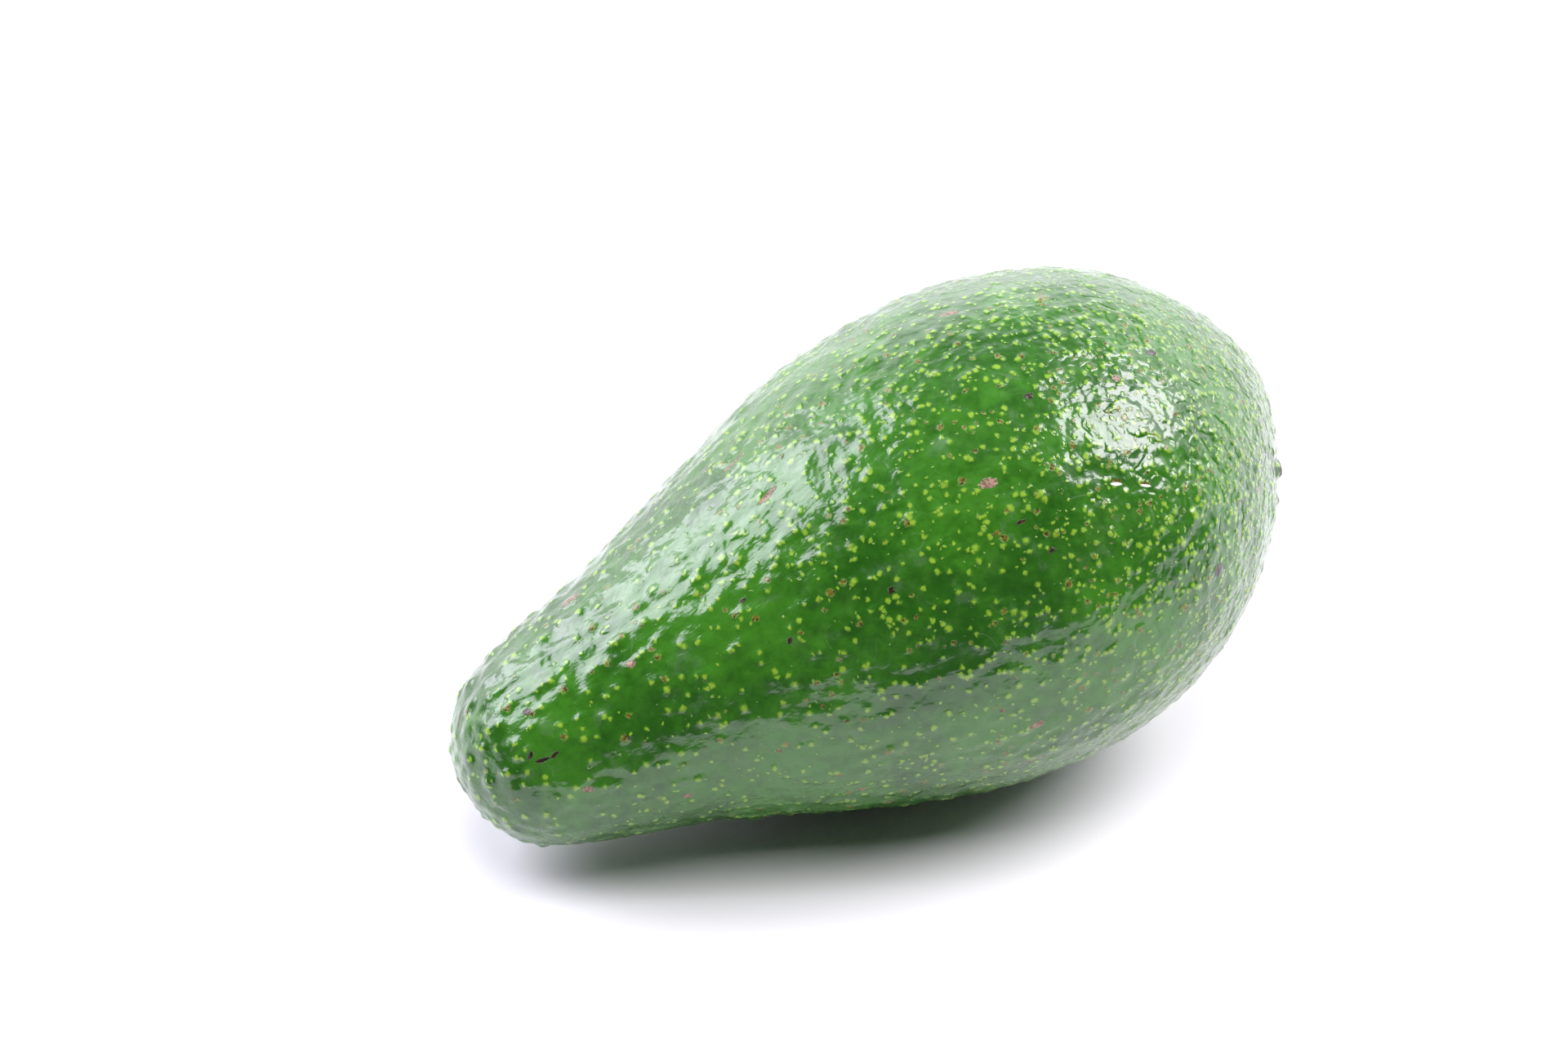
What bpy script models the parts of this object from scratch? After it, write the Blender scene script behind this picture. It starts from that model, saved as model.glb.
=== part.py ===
"""A whole green avocado, pear-shaped, lying on its side on a small flat spot.

Two pieces that can be pulled apart on the real fruit: the fruit itself, which grew as one
body, and the woody stem button that sits in a socket at the narrow end.

The frame: +X runs from the stem end to the blossom end, +Z is up, and the origin is the
middle of the bounding box at the surface that the fruit lies on. Lengths are in metres.
"""
import math

import bmesh
import bpy
import numpy as np
from mathutils import Matrix, Vector

# Driving dimensions of the body, measured square to its long axis
LENGTH = 0.122
STATION_RADII = (0.0128, 0.0199, 0.0310, 0.0317, 0.0177)
STEM_TIP_CURVE = 0.0162
BLOSSOM_TIP_CURVE = 0.0152
SIDE_STRETCH = 1.018
HEIGHT_STRETCH = 0.982
BLOSSOM_LEAN = 0.0039
LEAN_START = 0.6
TILT = math.radians(14.0)
FLAT_DEPTH = 0.0005

# Skin relief: low swells, and pebbles on them, both fading out round the resting spot
SWELL_LENGTH = 0.024
SWELL_HEIGHT = 0.00014
PEBBLE_LENGTH = 0.0074
PEBBLE_HEIGHT = 0.00014
WAVES = 14
CALM_RADIUS = 0.016

# Where the scars are: angle from the tip of the narrow end, and angle round the axis,
# counted from the top towards +Y
STEM_PLACE = (math.radians(27.0), math.radians(102.0))
NUB_PLACE = (math.radians(155.0), math.radians(-101.0))
SIDE_NUB_PLACE = (math.radians(150.0), math.radians(-106.0))

# Stem end: a shallow pit with folds running out of it, and a socket for the button
PIT_RADIUS = 0.0095
PIT_DEPTH = 0.0012
FOLDS = 6
FOLD_HEIGHT = 0.0003
GAP = 0.0003
BUTTON_RADIUS = 0.0040
BUTTON_TOP = 0.0009
BUTTON_FOOT = -0.0034
BUTTON_RIDGES = 7
RIDGE_DEPTH = 0.00022
SOCKET_TOP = 0.0060

# Blossom end: the corky nub left by the flower, and a smaller one beside it
NUB_RADIUS = 0.0018
NUB_STAND = 0.0006
SIDE_NUB_RADIUS = 0.0012
SIDE_NUB_STAND = 0.0003

# Fineness of the meshes
SKIN_AROUND = 88
SKIN_ALONG = 53
TURNED_STEPS = 28
NUB_AROUND = 16
NUB_ALONG = 10

SKIN_GREEN = (0.050, 0.165, 0.022, 1.0)
BUTTON_BROWN = (0.155, 0.098, 0.052, 1.0)


def clear_scene():
    """Take away whatever the file opened with."""
    for obj in list(bpy.data.objects):
        bpy.data.objects.remove(obj, do_unlink=True)


def add_collection(name):
    """A new collection in the scene."""
    collection = bpy.data.collections.new(name)
    bpy.context.scene.collection.children.link(collection)
    return collection


def principled(name, color, roughness, coat=0.0):
    """A material with one Principled BSDF."""
    material = bpy.data.materials.new(name)
    material.use_nodes = True
    shader = material.node_tree.nodes["Principled BSDF"]
    shader.inputs["Base Color"].default_value = color
    shader.inputs["Roughness"].default_value = roughness
    shader.inputs["Metallic"].default_value = 0.0
    shader.inputs["Coat Weight"].default_value = coat
    material.diffuse_color = color
    return material


def direction_at(place):
    """Unit direction for an angle from the stem tip and an angle round the axis."""
    along, around = place
    ring = math.sin(along)
    return np.array([[-math.cos(along), ring * math.sin(around), ring * math.cos(around)]])


def unit(vectors):
    """Vectors scaled to length one."""
    return vectors / np.linalg.norm(vectors, axis=-1, keepdims=True)


def fullness_series():
    """Cosine series through the radii of the stations and the roundness of both tips.

    On a sphere the radius is the sine of the angle from the tip. The fullness is what the
    sine is multiplied by, here at every 30 degrees, and it makes the sphere pear-shaped.
    """
    angles = np.radians(np.arange(0.0, 181.0, 30.0))
    half = LENGTH / 2.0
    values = np.empty(len(angles))
    values[0] = math.sqrt(STEM_TIP_CURVE * half)
    values[1:-1] = np.array(STATION_RADII) / np.sin(angles[1:-1])
    values[-1] = math.sqrt(BLOSSOM_TIP_CURVE * half)
    orders = np.arange(len(angles))
    return np.linalg.solve(np.cos(np.outer(angles, orders)), values)


SERIES = fullness_series()


def body_point(direction):
    """Points of the smooth body for unit directions from its middle, axis along X."""
    direction = unit(direction)
    theta = np.arccos(np.clip(-direction[:, 0], -1.0, 1.0))
    fullness = np.cos(np.outer(theta, np.arange(len(SERIES)))) @ SERIES
    share = (1.0 + direction[:, 0]) / 2.0
    lean = BLOSSOM_LEAN * np.clip((share - LEAN_START) / (1.0 - LEAN_START), 0.0, 1.0) ** 2
    x = LENGTH * (share - 0.5)
    y = SIDE_STRETCH * fullness * direction[:, 1] + lean
    z = HEIGHT_STRETCH * fullness * direction[:, 2]
    tilted_x = x * math.cos(TILT) - z * math.sin(TILT)
    tilted_z = x * math.sin(TILT) + z * math.cos(TILT)
    return np.stack([tilted_x, y, tilted_z], axis=1)


def outward(direction):
    """Unit normals of the smooth body, from small steps either side of each direction."""
    direction = unit(direction)
    step = 1e-4
    first = step * unit(np.cross(direction, (0.31, 0.23, 0.92)))
    second = np.cross(direction, first)
    across = body_point(direction + first) - body_point(direction - first)
    along = body_point(direction + second) - body_point(direction - second)
    return unit(np.cross(across, along))


def wave_field(points, wavelength):
    """Sum of sine waves that run every way through space, scaled to about -1 to 1.

    The directions follow a golden-angle spiral over a sphere, so that no line of bumps
    stands out, and each wave starts at its own phase.
    """
    index = np.arange(WAVES) + 0.5
    height = 1.0 - 2.0 * index / WAVES
    turn = index * math.pi * (3.0 - math.sqrt(5.0))
    ring = np.sqrt(1.0 - height ** 2)
    ways = np.stack([ring * np.cos(turn), ring * np.sin(turn), height], axis=1)
    lengths = wavelength * (0.85 + 0.3 * ((index * 0.618) % 1.0))
    phases = (points @ ways.T) * (2.0 * math.pi / lengths) + index ** 2
    return np.sin(phases).sum(axis=1) / math.sqrt(WAVES)


def frame_at(place):
    """Point of the smooth body at a place, and a matrix with Z along the normal there."""
    direction = direction_at(place)
    point = Vector(body_point(direction)[0])
    normal = Vector(outward(direction)[0])
    turn = Vector((0.0, 0.0, 1.0)).rotation_difference(normal)
    return Matrix.Translation(point) @ turn.to_matrix().to_4x4()


def stem_relief(points):
    """Height of the skin round the stem: a pit, with folds that run out over its rim.

    Both fade out below the pit, because the far side of the neck is in line with it too.
    """
    local = np.array(frame_at(STEM_PLACE).inverted())
    near = points @ local[:3, :3].T + local[:3, 3]
    radius = np.hypot(near[:, 0], near[:, 1])
    share = radius / PIT_RADIUS
    pit = -PIT_DEPTH * np.clip(1.0 - share ** 2, 0.0, 1.0) ** 2
    folds = np.cos(FOLDS * np.arctan2(near[:, 1], near[:, 0]) + 3.0 * share)
    folds = folds * FOLD_HEIGHT * share * np.exp(1.0 - share ** 2) * 0.7
    fade = np.clip(2.0 + near[:, 2] / PIT_RADIUS, 0.0, 1.0)
    return (pit + folds) * fade


def skin_points(direction):
    """The finished skin: the smooth body, its relief, and its height over the floor."""
    smooth = body_point(direction)
    lowest = smooth[np.argmin(smooth[:, 2])]
    reach = np.linalg.norm(smooth - lowest, axis=1) / CALM_RADIUS
    calm = 1.0 - np.exp(-reach ** 4)
    relief = SWELL_HEIGHT * wave_field(smooth, SWELL_LENGTH)
    relief = relief + PEBBLE_HEIGHT * wave_field(smooth, PEBBLE_LENGTH)
    relief = relief * calm + stem_relief(smooth)
    return smooth + outward(direction) * relief[:, None]


def mesh_object(name, mesh, collection, material=None):
    """An object for a mesh, in a collection, with smooth shading."""
    obj = bpy.data.objects.new(name, mesh)
    collection.objects.link(obj)
    if material is not None:
        mesh.materials.append(material)
    mesh.shade_smooth()
    return obj


def as_guide(obj):
    """Mark an object as a cutter, which isn't a piece of the fruit."""
    obj.hide_render = True
    obj.display_type = "WIRE"
    return obj


def sphere_mesh(name, around, along, matrix):
    """A mesh of a unit sphere that a matrix places."""
    work = bmesh.new()
    bmesh.ops.create_uvsphere(work, u_segments=around, v_segments=along, radius=1.0,
                              matrix=matrix)
    mesh = bpy.data.meshes.new(name)
    work.to_mesh(mesh)
    work.free()
    return mesh


def read_points(mesh):
    """A mesh's vertices as an array."""
    flat = np.empty(len(mesh.vertices) * 3)
    mesh.vertices.foreach_get("co", flat)
    return flat.reshape(-1, 3)


def write_points(mesh, points):
    """Put an array back as a mesh's vertices."""
    mesh.vertices.foreach_set("co", np.asarray(points).ravel())
    mesh.update()


def make_skin(collection, material):
    """The fruit's body: a sphere with its poles at the scars, shaped by the formula."""
    stem_way = Vector(direction_at(STEM_PLACE)[0])
    turn = Vector((0.0, 0.0, 1.0)).rotation_difference(stem_way).to_matrix().to_4x4()
    mesh = sphere_mesh("fruit", SKIN_AROUND, SKIN_ALONG, turn)
    write_points(mesh, skin_points(read_points(mesh)))
    return mesh_object("fruit", mesh, collection, material)


def make_nub(name, place, radius, stand, collection):
    """A low corky dome, most of it sunk in the skin."""
    sink = Matrix.Translation((0.0, 0.0, stand - radius * 0.8))
    size = Matrix.Diagonal((radius * 1.1, radius * 0.9, radius * 0.8, 1.0))
    mesh = sphere_mesh(name, NUB_AROUND, NUB_ALONG, frame_at(place) @ sink @ size)
    return as_guide(mesh_object(name, mesh, collection))


def turned_mesh(name, profile, matrix):
    """A profile of radius and height, run from top to bottom, turned into a closed mesh."""
    line = bpy.data.meshes.new(name)
    points = [(radius, 0.0, height) for radius, height in profile]
    line.from_pydata(points, [(i, i + 1) for i in range(len(points) - 1)], [])
    obj = bpy.data.objects.new(name, line)
    bpy.context.scene.collection.objects.link(obj)
    screw = obj.modifiers.new("turned", "SCREW")
    screw.steps = TURNED_STEPS
    screw.render_steps = TURNED_STEPS
    screw.use_merge_vertices = True
    screw.merge_threshold = 0.00001
    depsgraph = bpy.context.evaluated_depsgraph_get()
    mesh = bpy.data.meshes.new_from_object(obj.evaluated_get(depsgraph))
    mesh.name = name
    bpy.data.objects.remove(obj, do_unlink=True)
    mesh.transform(matrix)
    return mesh


def button_profile():
    """Half outline of the stem button, from the middle of its cut face to its foot."""
    outline = [(0.0, BUTTON_TOP - 0.0003)]
    outline.append((BUTTON_RADIUS * 0.35, BUTTON_TOP - 0.0002))
    outline.append((BUTTON_RADIUS * 0.66, BUTTON_TOP))
    outline.append((BUTTON_RADIUS * 0.78, BUTTON_TOP - 0.0003))
    outline.append((BUTTON_RADIUS * 0.82, 0.0))
    outline.append((BUTTON_RADIUS * 0.97, -0.0008))
    outline.append((BUTTON_RADIUS, -0.0014))
    outline.append((BUTTON_RADIUS * 0.96, BUTTON_FOOT + 0.0010))
    outline.append((BUTTON_RADIUS * 0.72, BUTTON_FOOT))
    outline.append((0.0, BUTTON_FOOT))
    return outline


def make_button(collection, material):
    """The stem button: turned, then fluted inwards as dry wood shrinks."""
    mesh = turned_mesh("stem_button", button_profile(), Matrix.Identity(4))
    points = read_points(mesh)
    around = np.arctan2(points[:, 1], points[:, 0])
    radius = np.hypot(points[:, 0], points[:, 1])
    flute = RIDGE_DEPTH * (0.5 + 0.5 * np.cos(BUTTON_RIDGES * around)) * radius / BUTTON_RADIUS
    shrink = 1.0 - flute / np.maximum(radius, RIDGE_DEPTH)
    points[:, :2] *= shrink[:, None]
    write_points(mesh, points)
    mesh.transform(frame_at(STEM_PLACE))
    return mesh_object("stem_button", mesh, collection, material)


def make_socket(collection):
    """Cutter for the socket: the button's outline, wider by the gap, and open above."""
    wide = BUTTON_RADIUS + GAP
    foot = BUTTON_FOOT - GAP
    outline = [(0.0, SOCKET_TOP), (wide, SOCKET_TOP), (wide, foot + 0.0009),
               (wide * 0.78, foot), (0.0, foot)]
    mesh = turned_mesh("socket", outline, frame_at(STEM_PLACE))
    return as_guide(mesh_object("socket", mesh, collection))


def make_floor_cutter(level, collection):
    """Cutter that shaves the lowest skin off to the small flat resting spot."""
    work = bmesh.new()
    bmesh.ops.create_cube(work, size=LENGTH)
    mesh = bpy.data.meshes.new("floor_cut")
    work.to_mesh(mesh)
    work.free()
    mesh.transform(Matrix.Translation((0.0, 0.0, level - LENGTH / 2.0)))
    return as_guide(mesh_object("floor_cut", mesh, collection))


def combine(obj, other, operation):
    """Join another object to a piece, or cut it away, with an exact Boolean."""
    modifier = obj.modifiers.new(other.name, "BOOLEAN")
    modifier.object = other
    modifier.operation = operation
    modifier.solver = "EXACT"


def world_points(pieces):
    """Every vertex of the finished pieces, as they stand."""
    depsgraph = bpy.context.evaluated_depsgraph_get()
    clouds = []
    for obj in pieces:
        finished = obj.evaluated_get(depsgraph)
        matrix = np.array(finished.matrix_world)
        clouds.append(read_points(finished.data) @ matrix[:3, :3].T + matrix[:3, 3])
    return np.concatenate(clouds)


def set_down(pieces, guides, collection):
    """Parent all to one empty that brings the bounding box's bottom centre to the origin."""
    stand = bpy.data.objects.new("avocado_origin", None)
    stand.empty_display_size = LENGTH / 4.0
    collection.objects.link(stand)
    cloud = world_points(pieces)
    low = cloud.min(axis=0)
    high = cloud.max(axis=0)
    stand.location = (-(low[0] + high[0]) / 2.0, -(low[1] + high[1]) / 2.0, -low[2])
    for obj in pieces + guides:
        obj.parent = stand
    bpy.context.view_layer.update()


def build():
    """Make both pieces and lay the avocado down."""
    clear_scene()
    avocado = add_collection("avocado")
    cutters = add_collection("cutters")
    skin = principled("skin", SKIN_GREEN, 0.32, coat=0.5)
    wood = principled("stem_wood", BUTTON_BROWN, 0.85)

    fruit = make_skin(avocado, skin)
    level = float(read_points(fruit.data)[:, 2].min()) + FLAT_DEPTH
    button = make_button(avocado, wood)
    nub = make_nub("blossom_nub", NUB_PLACE, NUB_RADIUS, NUB_STAND, cutters)
    side_nub = make_nub("side_nub", SIDE_NUB_PLACE, SIDE_NUB_RADIUS, SIDE_NUB_STAND, cutters)
    socket = make_socket(cutters)
    floor = make_floor_cutter(level, cutters)
    combine(fruit, nub, "UNION")
    combine(fruit, side_nub, "UNION")
    combine(fruit, socket, "DIFFERENCE")
    combine(fruit, floor, "DIFFERENCE")
    set_down([fruit, button], [nub, side_nub, socket, floor], avocado)


build()
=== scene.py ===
# %% [markdown]
# # A whole green avocado
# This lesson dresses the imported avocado: a glossy pebbled skin with its specks and scars, and
# the woody stem button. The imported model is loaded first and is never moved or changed. Every
# new surface is worked out with numpy as whole arrays, and each one is put where the packed
# model says that piece is.

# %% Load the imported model
import math
import bpy
import numpy as np
from mathutils import Matrix, Vector
from mathutils.bvhtree import BVHTree


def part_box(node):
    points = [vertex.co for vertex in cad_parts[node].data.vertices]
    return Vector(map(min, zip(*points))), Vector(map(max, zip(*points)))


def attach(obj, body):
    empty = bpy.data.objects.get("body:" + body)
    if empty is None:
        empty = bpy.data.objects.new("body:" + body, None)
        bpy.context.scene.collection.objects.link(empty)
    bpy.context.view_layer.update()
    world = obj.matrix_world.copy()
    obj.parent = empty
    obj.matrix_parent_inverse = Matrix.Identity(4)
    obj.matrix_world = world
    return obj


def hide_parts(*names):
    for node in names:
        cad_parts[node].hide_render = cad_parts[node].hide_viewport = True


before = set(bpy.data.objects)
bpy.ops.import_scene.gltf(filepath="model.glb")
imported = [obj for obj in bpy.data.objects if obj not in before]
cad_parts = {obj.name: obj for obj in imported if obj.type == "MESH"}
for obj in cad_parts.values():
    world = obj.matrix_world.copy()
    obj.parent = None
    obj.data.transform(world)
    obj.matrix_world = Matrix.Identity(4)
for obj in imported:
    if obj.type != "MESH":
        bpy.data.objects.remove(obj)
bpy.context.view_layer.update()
fruit_low, fruit_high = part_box("fruit")

# %% [markdown]
# ## The body's form
# An avocado is close to a turned shape, so it could be made with a Screw modifier on half an
# outline. Here it is a sphere whose radius is changed by a formula, because a formula can be
# asked for a point anywhere: it places the scars, the specks and the stem too. `fullness` is
# what the sphere's radius is multiplied by, and it is a short cosine series through seven
# measured values, from the narrow stem end to the wide blossom end.

# %% Driving dimensions of the body, in metres
LENGTH = 0.122
STATION_RADII = (0.0128, 0.0199, 0.0310, 0.0317, 0.0177)
STEM_TIP_CURVE = 0.0162
BLOSSOM_TIP_CURVE = 0.0152
SIDE_STRETCH = 1.018
HEIGHT_STRETCH = 0.982
BLOSSOM_LEAN = 0.0039
LEAN_START = 0.6
TILT = math.radians(14.0)
FLAT_DEPTH = 0.0005
STEM_PLACE = (math.radians(27.0), math.radians(102.0))
NUB_PLACE = (math.radians(155.0), math.radians(-101.0))
SIDE_NUB_PLACE = (math.radians(150.0), math.radians(-106.0))


# %% The body as a function of direction
def unit(vectors):
    """Vectors scaled to length one."""
    return vectors / np.linalg.norm(vectors, axis=-1, keepdims=True)


def fullness_series():
    """Cosine series that passes through the measured radii, each divided by its sine."""
    angles = np.radians(np.arange(0.0, 181.0, 30.0))
    half = LENGTH / 2.0
    values = np.empty(len(angles))
    values[0] = math.sqrt(STEM_TIP_CURVE * half)
    values[1:-1] = np.array(STATION_RADII) / np.sin(angles[1:-1])
    values[-1] = math.sqrt(BLOSSOM_TIP_CURVE * half)
    return np.linalg.solve(np.cos(np.outer(angles, np.arange(len(angles)))), values)


SERIES = fullness_series()


def body_point(direction):
    """Points of the smooth body for directions from its middle.

    Along the axis a point sits at half the length times its direction's X. Square to the axis
    it sits at the fullness times its direction's Y and Z. The wide end then leans a little
    sideways, and the whole body tips up by the tilt.
    """
    direction = unit(direction)
    theta = np.arccos(np.clip(-direction[..., 0], -1.0, 1.0))
    fullness = np.cos(theta[..., None] * np.arange(len(SERIES))) @ SERIES
    share = (1.0 + direction[..., 0]) / 2.0
    lean = BLOSSOM_LEAN * np.clip((share - LEAN_START) / (1.0 - LEAN_START), 0.0, 1.0) ** 2
    x = LENGTH * (share - 0.5)
    y = SIDE_STRETCH * fullness * direction[..., 1] + lean
    z = HEIGHT_STRETCH * fullness * direction[..., 2]
    tipped_x = x * math.cos(TILT) - z * math.sin(TILT)
    tipped_z = x * math.sin(TILT) + z * math.cos(TILT)
    return np.stack([tipped_x, y, tipped_z], axis=-1)


def outward(direction):
    """Unit normals of the smooth body: the cross product of two small steps over it."""
    direction = unit(direction)
    step = 1e-4
    first = step * unit(np.cross(direction, (0.31, 0.23, 0.92)))
    second = np.cross(direction, first)
    across = body_point(direction + first) - body_point(direction - first)
    along = body_point(direction + second) - body_point(direction - second)
    return unit(np.cross(across, along))


def direction_at(place):
    """Direction for an angle from the stem tip and an angle round the axis from the top."""
    along, around = place
    ring = math.sin(along)
    return np.array([-math.cos(along), ring * math.sin(around), ring * math.cos(around)])


def frame_at(place):
    """Matrix whose Z is the skin's normal at a place, and whose origin is the place."""
    point = Vector(body_point(direction_at(place)))
    turn = Vector((0.0, 0.0, 1.0)).rotation_difference(Vector(outward(direction_at(place))))
    return Matrix.Translation(point) @ turn.to_matrix().to_4x4()


def local_to(place, points):
    """Points as seen from a place's own frame."""
    local = np.array(frame_at(place).inverted())
    return points @ local[:3, :3].T + local[:3, 3]


def smoothstep(low, high, value):
    """A soft step from 0 at low to 1 at high."""
    share = np.clip((value - low) / (high - low), 0.0, 1.0)
    return share * share * (3.0 - 2.0 * share)


# %% [markdown]
# ## Where the specks are
# The skin is dotted with breathing pores, and each sits on a low pimple. The material will draw
# the specks with Blender's Voronoi Texture, which drops one random seed in every cell of a
# lattice. For the pimples to sit under the specks, the mesh has to know the same seeds, so this
# step works out the texture's own random numbers for whole arrays of cells. The alternative, a
# bump map alone, leaves a smooth outline and a smooth mesh.

# %% Seeds of the Voronoi Texture
def turn_bits(value, count):
    """Bits of whole numbers moved round to the left."""
    return (value << np.uint32(count)) | (value >> np.uint32(32 - count))


def last_stir(a, b, c):
    """Closing rounds of the hash, seven steps that each mix one number into the next."""
    for count_c, count_a, count_b in ((14, 11, 25), (16, 4, 14)):
        c = (c ^ b) - turn_bits(b, count_c)
        a = (a ^ c) - turn_bits(c, count_a)
        b = (b ^ a) - turn_bits(a, count_b)
    return (c ^ b) - turn_bits(b, 24)


def first_stir(a, b, c):
    """Opening rounds of the hash, for cells that carry a fourth number."""
    for count_c, count_a, count_b in ((4, 6, 8), (16, 19, 4)):
        a = (a - c) ^ turn_bits(c, count_c)
        c = c + b
        b = (b - a) ^ turn_bits(a, count_a)
        a = a + c
        c = (c - b) ^ turn_bits(b, count_b)
        b = b + a
    return a, b, c


def cell_random(cells):
    """Three random numbers from 0 to 1 for each cell, the same as the texture's Color."""
    bits = (cells.astype(np.float32) + np.float32(0.0)).view(np.uint32)
    x, y, z = bits[..., 0], bits[..., 1], bits[..., 2]
    start = np.uint32(0xDEADBEEF + (3 << 2) + 13)
    found = [last_stir(start + x, start + y, start + z)]
    start = np.uint32(0xDEADBEEF + (4 << 2) + 13)
    for fourth in (1.0, 2.0):
        a, b, c = first_stir(start + x, start + y, start + z)
        found.append(last_stir(a + np.float32(fourth).view(np.uint32), b, c))
    return np.stack(found, axis=-1) / 0xFFFFFFFF


KEEP_MIX = (37.7, 17.3, 71.9)
KIND_MIX = (23.9, 61.3, 41.1)


def seeds_round(points, cell):
    """For each of the 27 cells round every point: the way to its seed, and its draw."""
    scaled = points / cell
    home = np.floor(scaled)
    steps = np.stack(np.meshgrid(*[(-1, 0, 1)] * 3, indexing="ij"), axis=-1).reshape(-1, 3)
    for step in steps:
        draws = cell_random(home + step)
        yield (home + step + draws - scaled) * cell, (draws @ KEEP_MIX) % 1.0


# %% [markdown]
# ## How many specks, and how large
# The neck has few large specks, the belly has more, and the blossom end is crowded with small
# ones. Three layers of the texture give that, each with its own cell size, and each keeps a
# share of its seeds that changes along the fruit. Mesh and material read the same table.

# %% Speck layers
LAYERS = (
    dict(name="large", cell=0.00220, radius=0.00054, keep=(0.54, 0.66, 0.76, 0.34)),
    dict(name="middle", cell=0.00150, radius=0.00045, keep=(0.16, 0.38, 0.74, 0.92)),
    dict(name="small", cell=0.00092, radius=0.00031, keep=(0.00, 0.05, 0.28, 1.00)),
)
KEEP_PLACES = (0.0, 0.35, 0.68, 1.0)
KEEP_SLOPE = 12.0
SEED_REACH = 0.40


def axis_share(points):
    """How far along the fruit a point is: 0 at the stem end, and 1 at the blossom end."""
    way = np.array([math.cos(TILT), 0.0, math.sin(TILT)])
    return points @ way / LENGTH + 0.5


# %% [markdown]
# ## The skin's relief
# Under a lamp, an avocado's skin breaks the reflection up: there are broad swells, pebbles on
# them, a pimple under each large speck, and on the neck the pebbles are drawn out into short
# ridges along the fruit. Each of these is a formula that gives a height, and the heights add
# up. A sum of sine waves in many directions gives the swells and pebbles.

# %% Wave fields
SWELL_LENGTH = 0.024
SWELL_HEIGHT = 0.00014
PEBBLE_LENGTH = 0.0074
PEBBLE_HEIGHT = 0.00008
FINE_LENGTH = 0.0027
FINE_STRETCH = 1.9
FINE_HEIGHT = 0.000068
RIDGE_LENGTH = 0.0024
RIDGE_STRETCH = 2.4
RIDGE_HEIGHT = 0.000040
CALM_RADIUS = 0.016


def wave_field(points, wavelength, waves=14):
    """Sum of sine waves that run every way through space, scaled to about -1 to 1.

    The directions follow a golden-angle spiral over a sphere, and each wave has its own
    length and starts at its own phase.
    """
    index = np.arange(waves) + 0.5
    height = 1.0 - 2.0 * index / waves
    turn = index * math.pi * (3.0 - math.sqrt(5.0))
    ring = np.sqrt(1.0 - height ** 2)
    ways = np.stack([ring * np.cos(turn), ring * np.sin(turn), height], axis=1)
    lengths = wavelength * (0.85 + 0.3 * ((index * 0.618) % 1.0))
    phases = (points @ ways.T) * (2.0 * math.pi / lengths) + index ** 2
    return np.sin(phases).sum(axis=-1) / math.sqrt(waves)


def drawn_out(points, stretch):
    """Points squeezed along the fruit's axis, so that a pattern on them is drawn out."""
    way = np.array([math.cos(TILT), 0.0, math.sin(TILT)])
    along = points @ way
    return points - np.outer(along * (1.0 - 1.0 / stretch), way)


# %% [markdown]
# ## Pimples, stem pit and blossom nubs
# A pimple is a small bell curve round each kept seed. The pit at the stem is a shallow bowl with
# folds that run out over its rim, and it drops into the socket of the button. The flower left
# two corky nubs at the other end: low domes with a dent round them.

# %% Relief of the details
PIMPLE_HEIGHT = {"large": 0.00022, "middle": 0.00015, "small": 0.00005}
PIMPLE_SPREAD = {"large": 0.00049, "middle": 0.00044, "small": 0.00034}
PIMPLE_STRETCH = 2.3
PIT_RADIUS = 0.0095
PIT_DEPTH = 0.0012
FOLDS = 6
FOLD_HEIGHT = 0.0003
GAP = 0.0003
BUTTON_RADIUS = 0.0040
BUTTON_TOP = 0.0009
BUTTON_FOOT = -0.0034
NUBS = ((NUB_PLACE, 0.0018, 0.0006), (SIDE_NUB_PLACE, 0.0012, 0.0003))


def pimples(points, normals):
    """Heights of the bells over the kept seeds of all three layers.

    A bell falls off with the distance along the skin, and on the neck it is drawn out along
    the fruit. It is also faded to nothing one cell away, where the search for seeds ends, and
    for seeds that lie far above or below the skin.
    """
    share = axis_share(points)
    axis = np.array([math.cos(TILT), 0.0, math.sin(TILT)])
    stretch = 1.0 + (PIMPLE_STRETCH - 1.0) * (1.0 - smoothstep(0.35, 0.65, share))
    height = np.zeros(len(points))
    for layer in LAYERS:
        keep = np.interp(share, KEEP_PLACES, layer["keep"])
        spread = PIMPLE_SPREAD[layer["name"]]
        total = np.zeros(len(points))
        for offset, draw in seeds_round(points, layer["cell"]):
            rise = np.einsum("ij,ij->i", offset, normals)
            along = offset @ axis
            square = np.einsum("ij,ij->i", offset, offset)
            flat = square - rise ** 2 - along ** 2 * (1.0 - 1.0 / stretch ** 2)
            window = np.clip(1.0 - square / layer["cell"] ** 2, 0.0, 1.0) ** 2
            near = np.clip(1.8 - 1.8 * (rise / (SEED_REACH * layer["cell"])) ** 2, 0.0, 1.0)
            kept = np.clip((keep - draw) * KEEP_SLOPE, 0.0, 1.0)
            total += kept * near * window * np.exp(-0.5 * flat / spread ** 2)
        height += PIMPLE_HEIGHT[layer["name"]] * total
    return height


def near_side(near):
    """One at the stem, falling to nothing between one and two pit radii below it."""
    return np.clip(2.0 + near[:, 2] / PIT_RADIUS, 0.0, 1.0)


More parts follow.
